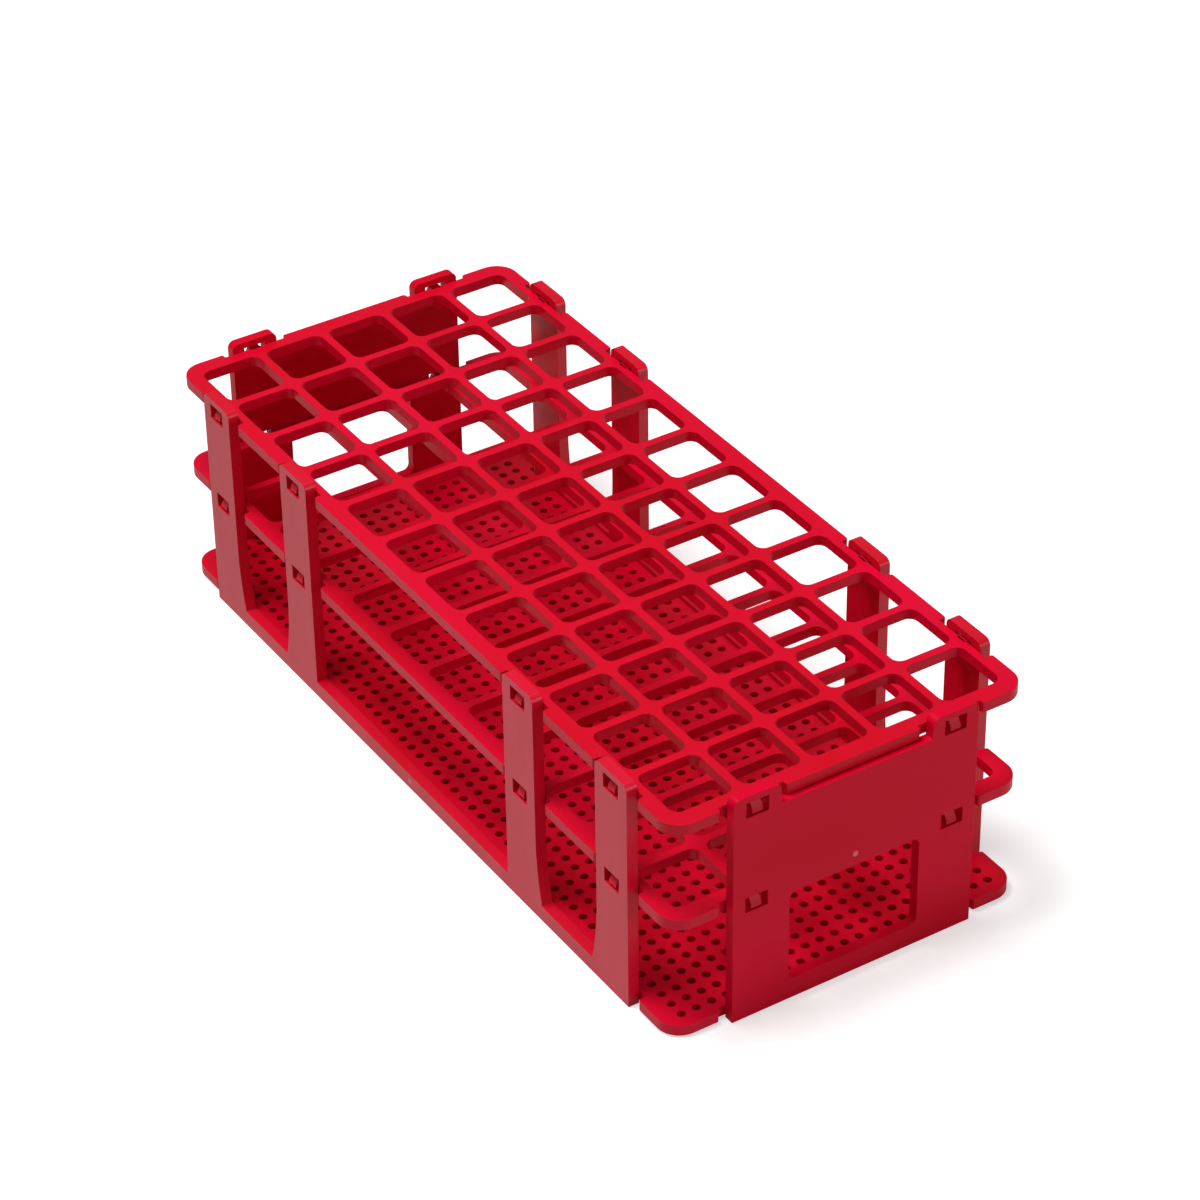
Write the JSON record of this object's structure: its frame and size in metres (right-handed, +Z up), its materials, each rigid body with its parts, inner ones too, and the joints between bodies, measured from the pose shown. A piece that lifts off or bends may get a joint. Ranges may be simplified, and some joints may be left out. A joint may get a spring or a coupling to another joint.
{
  "type": "test tube rack",
  "caption": "Three-tier snap-together plastic rack that holds test tubes upright in a grid of square cells over a perforated tray.",
  "frame": {"origin": "middle of the footprint, on the table", "axes": "+X along the rack's length, +Y across it, +Z up through the tube cells"},
  "size_m": [0.2514, 0.109, 0.0691],
  "materials": {
    "red_plastic": "moulded red polypropylene, soft satin gloss"
  },
  "bodies": {
    "root": {"top_tray": "red_plastic", "middle_tray": "red_plastic", "bottom_tray": "red_plastic", "front_frame": "red_plastic", "rear_frame": "red_plastic", "left_end_panel": "red_plastic", "right_end_panel": "red_plastic"}
  },
  "joints": []
}
